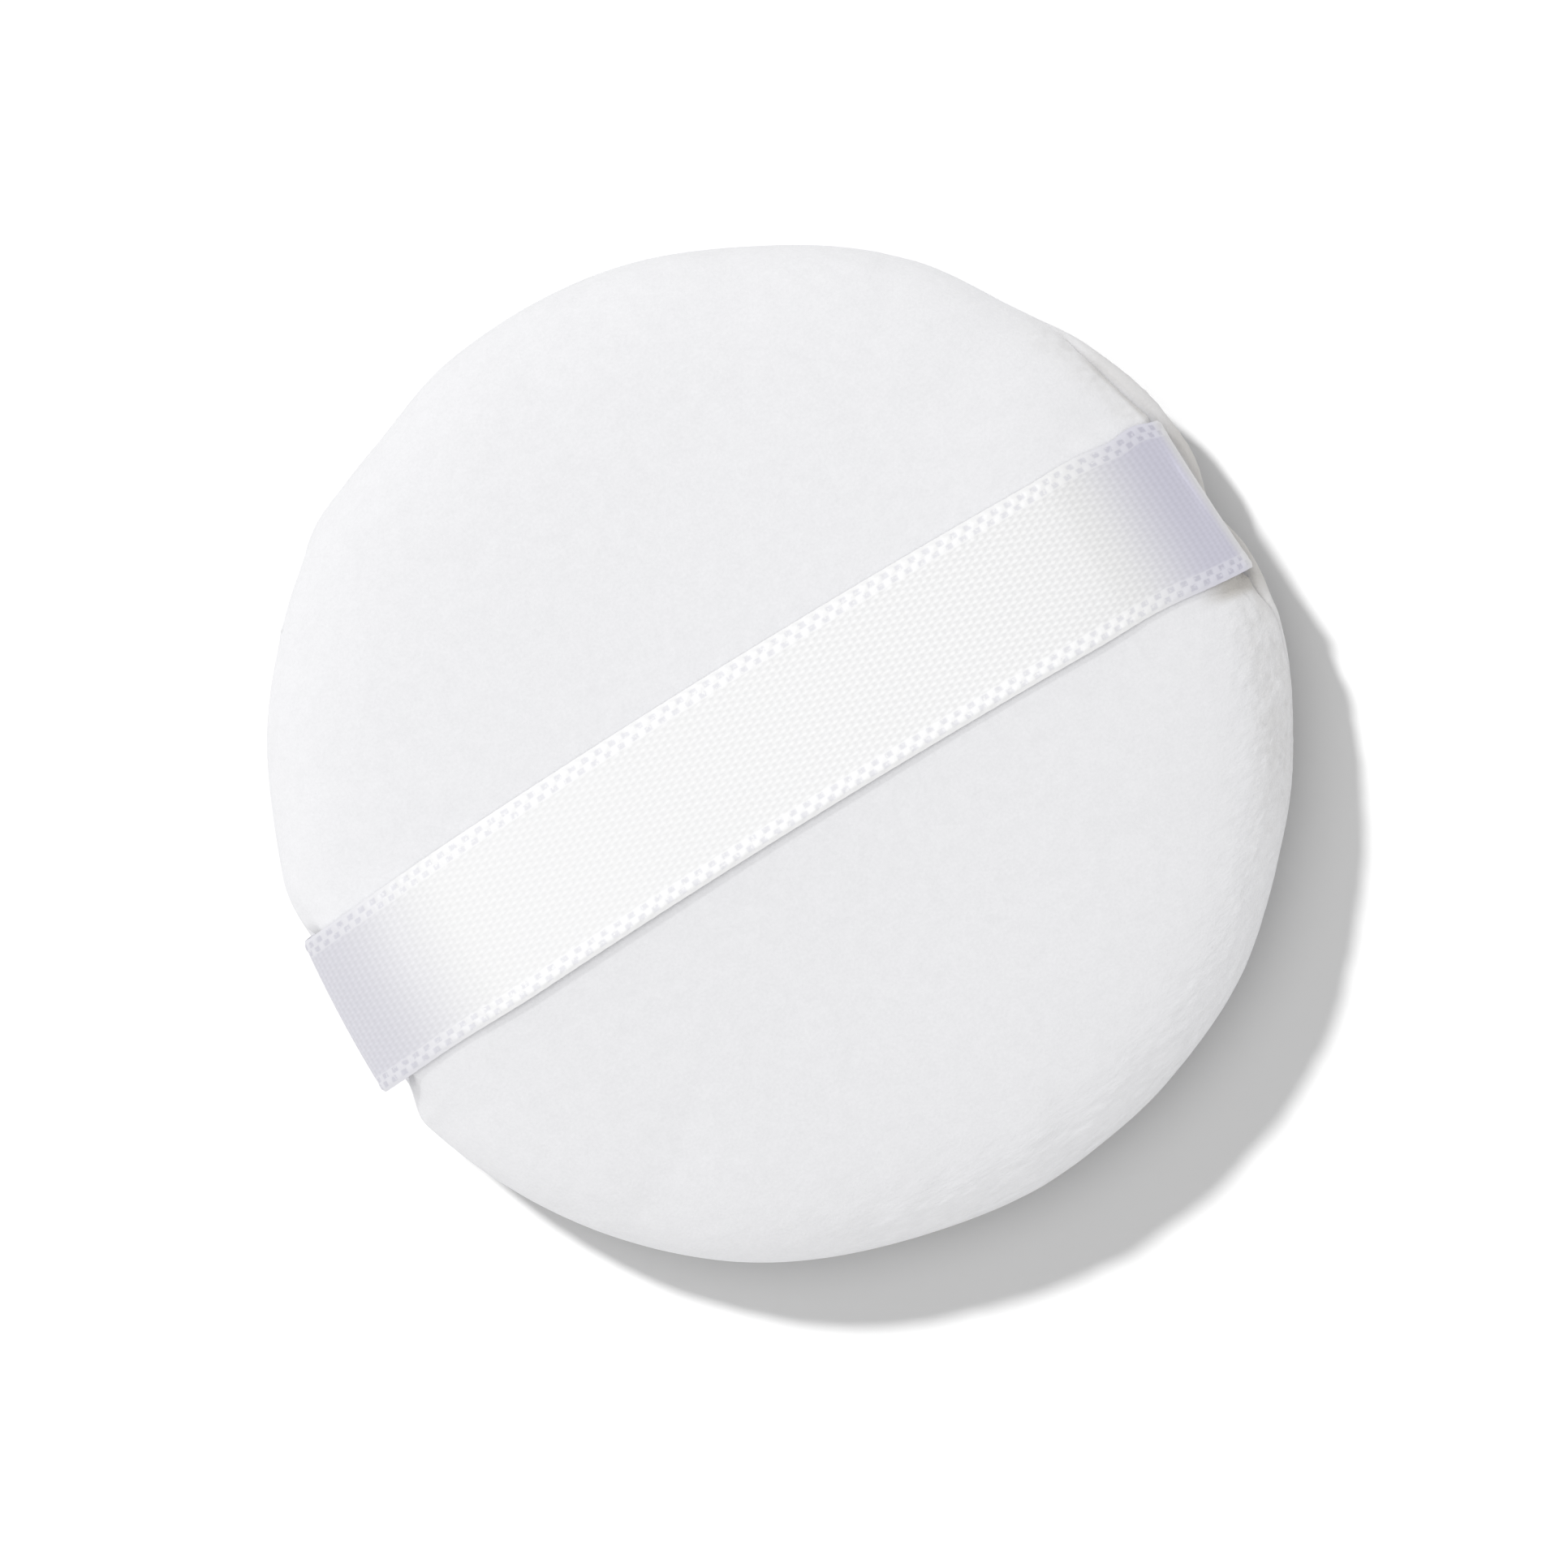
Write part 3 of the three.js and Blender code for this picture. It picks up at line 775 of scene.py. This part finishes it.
def resting(points):
    """Drawn-true points of the ribbon, settled with the seam and lifted where the crown has swelled."""
    radius, _, length = cover_profile(1)
    top = np.argmax(radius)
    place = np.interp(np.hypot(points[:, 0], points[:, 1]), radius[:top], length[:top]) / length[-1]
    first = 1 + RIM_CROWDING
    share = (first - np.sqrt(first ** 2 - 4 * RIM_CROWDING * place)) / (2 * RIM_CROWDING)
    angle = np.arctan2(points[:, 1], points[:, 0])
    off_seam = smoothstep(points[:, 2], *SWELL_HEIGHT)[:, None]
    sewn = settled(points, dented=False)
    laid = sewn + off_seam * (swelled(sewn, share, angle, 1) - sewn)
    laid[:, 1] = points[:, 1]
    return laid


def spread(values, gather):
    """Each value of a grid gathered with its neighbours along both ways."""
    for axis in (0, 1):
        padded = np.concatenate((values.take([0], axis), values, values.take([-1], axis)), axis)
        count = values.shape[axis]
        values = gather([padded.take(range(k, k + count), axis) for k in range(3)], axis=0)
    return values


def facing_of(grid):
    """Unit normals of a grid of points."""
    across = np.cross(np.gradient(grid, axis=0), np.gradient(grid, axis=1))
    return across / np.linalg.norm(across, axis=2, keepdims=True)


def lifted_clear(middle, facing, above):
    """The ribbon's middle layer, raised wherever its underside is closer to the top cover than CLEARANCE."""
    under = (middle - facing * RIBBON_THICKNESS / 2) * MM + PAD_AXIS
    lift = np.zeros(under.shape[:2])
    for row, column in np.ndindex(lift.shape):
        if above[row] > 0:
            near, up, _, _ = top_skin.find_nearest(under[row, column])
            gap = (under[row, column] - near) @ np.array(up) / MM
            lift[row, column] = max(0.0, CLEARANCE - gap) * above[row] / max(up[2], 0.4)
    for gather in (np.max, np.max, np.mean, np.mean, np.mean, np.mean):
        lift = spread(lift, gather)
    return middle + lift[:, :, None] * np.array((0, 0, 1))


def ribbon_half(name, side, replaced, material):
    """One half of the ribbon, from the middle of the top to the end of its tail in the seam."""
    middle, length = ribbon_stations()
    rows = int(length[-1] / ROW_STEP)
    along = np.linspace(0, length[-1], rows + 1)
    point = np.stack([np.interp(along, length, middle[:, k]) for k in (0, 1)], axis=1)
    half = RIBBON_WIDTH / 2
    inner = half - SELVEDGE_WIDTH
    edge = np.linspace(inner, half, SELVEDGE_COLUMNS)
    face = np.linspace(-inner, inner, FACE_COLUMNS)[1:-1]
    across = np.concatenate((-edge[::-1], face, edge))
    u, v = np.meshgrid(along, across, indexing="ij")
    x = np.broadcast_to(point[:, :1], v.shape)
    h = np.broadcast_to(point[:, 1:], v.shape)
    from_edge = half - np.abs(v)
    phase = 2 * math.pi * (side * u) / BEAD_PITCH
    scallop = SCALLOP * np.cos(phase) * np.exp(-from_edge / SCALLOP_REACH) * np.sign(v)
    drawn = np.stack((side * x, v + scallop, h), axis=-1)
    laid = resting(drawn.reshape(-1, 3)).reshape(drawn.shape)

    bow = RIBBON_BOW - BOW_FALL * (side * x - BOW_MIDDLE) ** 2
    bow = bow - RIGHT_TURN * smoothstep(side * x, *RIGHT_TURN_X)
    widened = RIGHT_SPREAD * smoothstep(side * x, *RIGHT_SPREAD_X)
    widened = widened + FOLD_SPREAD * bell(side * x - FOLD_SPREAD_X, FOLD_SPREAD_HALF_LENGTH)
    laid[..., 1] += (bow + widened * smoothstep(v, 0, half)) * smoothstep(h, *BOW_HEIGHT)
    slack = 1 - smoothstep(x, *SLACK_SPAN)
    laid[..., 1] += slack * (SLACK_WIDENING * v - SLACK_SHIFT)
    lift = SLACK_LIFT - side * LIFT_FALL * smoothstep(x, *LIFT_FALL_X)
    laid[..., 2] += slack * lift * (0.5 - v / RIBBON_WIDTH)
    reach = (side * laid[..., 0]).max(axis=0) + RIBBON_THICKNESS / 2
    fold_out = np.interp(across, (-half, half), FOLD_OUT[side][::-1])
    fold_out = fold_out + FOLD_BULGE[side] * (1 - (across / half) ** 2)
    laid[..., 0] += side * (fold_out - reach) * smoothstep(side * laid[..., 0], *FOLD_DRAW_X)
    laid = lifted_clear(laid, side * facing_of(laid), smoothstep(point[:, 1], *CLEAR_HEIGHT))
    for _ in range(SMOOTHING_PASSES):
        laid[1:-1] = (laid[:-2] + laid[1:-1] + laid[2:]) / 3

    relief = np.zeros_like(v)
    for row_in, half_width, turn, height in BEAD_ROWS:
        in_bead = smoothstep(np.cos(phase + turn), *BEAD_SWING)
        relief += height * bell(from_edge - row_in, half_width, power=4) * in_bead
    half_depth = RIBBON_THICKNESS / 2 * (1 - EDGE_THINNING * bell(from_edge, EDGE_ROUNDING))
    facing = side * facing_of(laid)
    upper = laid + facing * (half_depth + relief)[:, :, None]
    lower = laid - facing * (half_depth + UNDERSIDE_RELIEF * relief)[:, :, None]
    quads, border = grid_faces(rows, len(across) - 1)
    faces = closed_faces(quads, border, v.size)
    if side < 0:
        faces = faces[:, ::-1]
    placed = np.concatenate((upper.reshape(-1, 3), lower.reshape(-1, 3))) * MM + PAD_AXIS
    piece = mesh_piece(name, placed, faces.tolist(), material)
    piece.data.set_sharp_from_angle(angle=math.radians(SHARP_ANGLE))

    out = side * upper[..., 0]
    marks = {
        "along": side * u,
        "across": v,
        # Painted shade where the ends slope down.
        "painted_end_shade": PAINTED_BEND_SHADE[side] * smoothstep(out, *PAINTED_BEND_SPAN[side]),
        # Painted light on the right fold's edge.
        "painted_fold_light": FOLD_PAINTED_LIGHT[side] * (1 - smoothstep(fold_out - out, *FOLD_LIGHT_REACH)),
    }
    store_marks(piece, {label: np.tile(values.ravel(), 2) for label, values in marks.items()})
    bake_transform(piece)
    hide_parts(*replaced)


# The weave of the satin, over places in millimetres along and across the ribbon: flecks of its floats,
# ribs that show where it bends, and the gaps between the beads of its selvedge.
weave = bpy.data.node_groups.new("satin_weave", "ShaderNodeTree")
for label in ("Along", "Across"):
    weave.interface.new_socket(label, in_out="INPUT", socket_type="NodeSocketFloat")
for label in ("Fleck", "Rib", "Gap"):
    weave.interface.new_socket(label, in_out="OUTPUT", socket_type="NodeSocketFloat")
given = weave.nodes.new("NodeGroupInput").outputs
made = weave.nodes.new("NodeGroupOutput").inputs
flat_place = shader_node(weave, "CombineXYZ", {"X": given["Along"], "Y": given["Across"]}).outputs["Vector"]
wander = shader_node(weave, "TexNoise", {"Vector": flat_place, "Scale": 0.9, "Detail": 1})
slip = shader_node(weave, "SeparateXYZ", {"Vector": wander.outputs["Color"]}).outputs
u = math_node(weave, "MULTIPLY_ADD", slip["X"], 0.14, given["Along"])
v = math_node(weave, "MULTIPLY_ADD", slip["Y"], 0.06, given["Across"])
u_slanted = math_node(weave, "MULTIPLY_ADD", v, 0.041, u)
v_slanted = math_node(weave, "MULTIPLY_ADD", u, -0.07, v)
along_turn = math_node(weave, "MULTIPLY", u_slanted, 2 * math.pi / FLOAT_LENGTH)
across_turn = math_node(weave, "MULTIPLY", v_slanted, 2 * math.pi / FLOAT_WIDTH)
rising = math_node(weave, "COSINE", math_node(weave, "ADD", across_turn, along_turn))
falling = math_node(weave, "COSINE", math_node(weave, "SUBTRACT", across_turn, along_turn))
falling = math_node(weave, "MULTIPLY", falling, 0.54)
lattice = math_node(weave, "MULTIPLY_ADD", rising, 0.52, falling)
rib = math_node(weave, "COSINE", math_node(weave, "MULTIPLY_ADD", along_turn, 2, -1.75))
row = math_node(weave, "COSINE", math_node(weave, "MULTIPLY_ADD", across_turn, 2, 0.5))
fibres = noise(weave, flat_place, scale=3.2, detail=2, roughness=0.7)
dashes = math_node(weave, "MULTIPLY_ADD", rib, 0.42, lattice)
dashes = math_node(weave, "MULTIPLY_ADD", row, 0.34, dashes)
dashes = math_node(weave, "MULTIPLY_ADD", fibres, 2.0, dashes)
weave.links.new(math_node(weave, "MULTIPLY_ADD", dashes, 0.46, -0.03), made["Fleck"])
ribs = math_node(weave, "MULTIPLY_ADD", lattice, 0.6, rib)
ribs = math_node(weave, "MULTIPLY_ADD", row, 0.5, ribs)
weave.links.new(math_node(weave, "MULTIPLY_ADD", ribs, 0.36, 0.5), made["Rib"])
from_middle = math_node(weave, "ABSOLUTE", given["Across"])
bead_turn = math_node(weave, "MULTIPLY", u, 2 * math.pi / BEAD_PITCH)
gaps = []
for row_middle, half_width, turn in BEAD_GAPS:
    away = math_node(weave, "ABSOLUTE", math_node(weave, "SUBTRACT", from_middle, row_middle))
    in_row = remapped(weave, away, old=(half_width, 0.5 * half_width), curve="SMOOTHSTEP")
    swing = math_node(weave, "COSINE", math_node(weave, "ADD", bead_turn, turn))
    in_turn = remapped(weave, swing, old=(-0.5, 0.6), curve="SMOOTHSTEP")
    gaps.append(math_node(weave, "MULTIPLY", in_row, in_turn))
uneven = remapped(weave, fibres, old=(0.30, 0.50), curve="SMOOTHSTEP")
both_rows = math_node(weave, "MAXIMUM", *gaps)
weave.links.new(math_node(weave, "MULTIPLY", both_rows, uneven), made["Gap"])

satin, tree, surface = new_material("white_satin_ribbon")
along, across, painted_end_shade, painted_fold_light = (mark(tree, label) for label in ("along", "across", "painted_end_shade", "painted_fold_light"))
threads = shader_node(tree, "Group", {"Along": along, "Across": across}, node_tree=weave).outputs
from_middle = math_node(tree, "ABSOLUTE", across)
selvedge = remapped(tree, from_middle, old=(4.95, 5.15), curve="SMOOTHSTEP")
# Painted sheen: the weave is painted fainter towards the left end, as if washed out by the satin's gloss.
plain = remapped(tree, along, old=(-16.0, 20.0), new=(0.5, 1.0))
shown = mixed(tree, "FLOAT", plain, 0.45, threads["Fleck"])
# Painted shade where the ends slope down: the ribs show, and the colours go darker and lavender.
face = mixed(tree, "FLOAT", painted_end_shade, shown, threads["Rib"])
weft = mixed(tree, "RGBA", painted_end_shade, (0.76, 0.76, 0.765, 1), (0.57, 0.562, 0.655, 1))
warp = mixed(tree, "RGBA", painted_end_shade, (0.885, 0.885, 0.887, 1), (0.62, 0.612, 0.71, 1))
cloth = mixed(tree, "RGBA", face, weft, warp)
# Painted shade in the gaps between the selvedge's beads.
between = mixed(tree, "RGBA", painted_end_shade, (0.755, 0.755, 0.785, 1), (0.55, 0.542, 0.63, 1))
stitch = mixed(tree, "RGBA", painted_end_shade, (0.885, 0.885, 0.887, 1), (0.70, 0.695, 0.77, 1))
edge = mixed(tree, "RGBA", threads["Gap"], stitch, between)
whole = mixed(tree, "RGBA", selvedge, cloth, edge)
# Painted light on the right fold's edge: a light grey over the painted shade there.
set_inputs(tree, surface, {
    "Base Color": mixed(tree, "RGBA", painted_fold_light, whole, (0.75, 0.745, 0.74, 1)),
    "Metallic": 0.1,
    "Roughness": 0.48,
    "Normal": bumped(tree, threads["Fleck"], strength=0.2, distance=0.03 * MM),
})
ribbon_half("ribbon_left", -1, ["ribbon_end_left"], satin)
ribbon_half("ribbon_right", 1, ["ribbon_end_right", "ribbon_span"], satin)


# The table and the light: a plain sheet of paper, soft light from all round and from above, and one lamp
# high on the far left. The paper has a lamp of its own from the same side, so that it stays white and
# keeps its shadow. Places in metres, angles in degrees.
PAPER_HALF = 2
LAMP_HEIGHT = 44.7
LAMP_FROM = (-0.298, 0.953)
LAMP_SOFTNESS = 5
SOFTBOX_FROM = (-0.8547, 0.519)
PICTURE_TURN = -31.27
PICTURE_WIDTH = 0.1171
PICTURE_MIDDLE = (-0.00107, -0.00238)
PICTURE_HEIGHT = 0.008
CAMERA_AWAY = 0.65
SENSOR_WIDTH = 36

floor_mesh = bpy.data.meshes.new("floor")
paper_corners = [(a * PAPER_HALF, b * PAPER_HALF, 0) for a, b in ((-1, -1), (1, -1), (1, 1), (-1, 1))]
floor_mesh.from_pydata(paper_corners, [], [(0, 1, 2, 3)])
floor = bpy.data.objects.new("floor", floor_mesh)
bpy.context.scene.collection.objects.link(floor)
paper, tree, surface = new_material("white_paper")
set_inputs(tree, surface, {
    "Base Color": (0.60, 0.60, 0.60, 1),
    "Roughness": 1.0,
    "Specular IOR Level": 0.0,
})
floor_mesh.materials.append(paper)

world = bpy.data.worlds.new("studio")
bpy.context.scene.world = world
world.use_nodes = True
tree = world.node_tree
seen = shader_node(tree, "LightPath").outputs
direct = math_node(tree, "MAXIMUM", seen["Is Camera Ray"], seen["Is Glossy Ray"])
direct = math_node(tree, "MAXIMUM", direct, seen["Is Transmission Ray"])
level = remapped(tree, direct, old=(0.0, 1.0), new=(0.5, 1.0))
set_inputs(tree, tree.nodes["Background"], {"Color": (1, 1, 1, 1), "Strength": level})


def sun(name, energy, angle, tilt, towards):
    data = bpy.data.lights.new(name, "SUN")
    data.energy = energy
    data.angle = math.radians(angle)
    lamp = bpy.data.objects.new(name, data)
    lamp.rotation_euler = (0, math.radians(tilt), math.atan2(towards[1], towards[0]))
    bpy.context.scene.collection.objects.link(lamp)
    return lamp


lamp_tilt = 90 - LAMP_HEIGHT
sun("overhead_softbox", energy=1.2, angle=50, tilt=10, towards=SOFTBOX_FROM)
sun("key_lamp", energy=0.45, angle=LAMP_SOFTNESS, tilt=lamp_tilt, towards=LAMP_FROM)
paper_lamp = sun("paper_lamp", energy=3.75, angle=LAMP_SOFTNESS, tilt=lamp_tilt, towards=LAMP_FROM)
paper_only = bpy.data.collections.new("paper_only")
paper_only.objects.link(floor)
paper_lamp.light_linking.receiver_collection = paper_only

camera_data = bpy.data.cameras.new("camera")
camera_data.sensor_width = SENSOR_WIDTH
camera_data.lens = SENSOR_WIDTH * CAMERA_AWAY / PICTURE_WIDTH
camera = bpy.data.objects.new("camera", camera_data)
camera.location = (*PICTURE_MIDDLE, PICTURE_HEIGHT + CAMERA_AWAY)
camera.rotation_euler = (0, 0, math.radians(PICTURE_TURN))
bpy.context.scene.collection.objects.link(camera)
bpy.context.scene.camera = camera
bpy.context.scene.view_settings.view_transform = "Standard"
